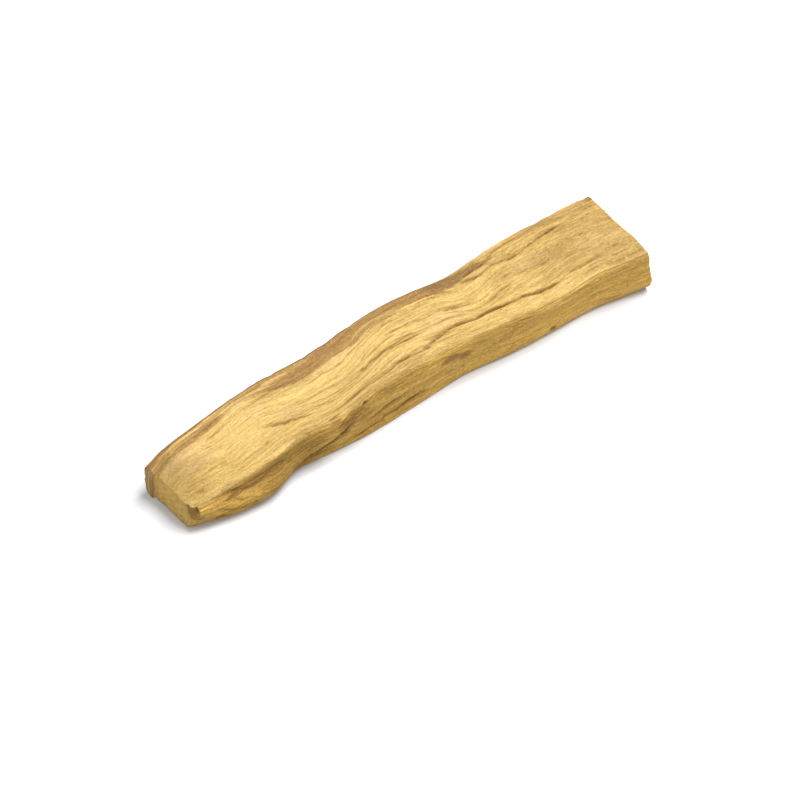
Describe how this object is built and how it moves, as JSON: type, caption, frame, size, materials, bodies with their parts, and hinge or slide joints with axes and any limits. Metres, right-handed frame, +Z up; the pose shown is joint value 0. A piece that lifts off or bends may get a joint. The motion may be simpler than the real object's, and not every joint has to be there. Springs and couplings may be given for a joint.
{
  "type": "palo santo stick",
  "caption": "Hand-split stick of pale golden palo santo wood, sawn across at both ends, with wavy torn grain and a darker band of heartwood along one edge.",
  "frame": {"origin": "on the flat underside, under the middle of the stick's box", "axes": "+X along the grain towards the thick end, +Y towards the edge with the dark heartwood, +Z up from the underside"},
  "size_m": [0.0994, 0.021, 0.0101],
  "materials": {
    "palo_santo": "dry, unpolished split wood: pale gold with darker grain lines, and a brown band of heartwood along the back edge"
  },
  "bodies": {
    "root": {"stick": "palo_santo"}
  },
  "joints": []
}
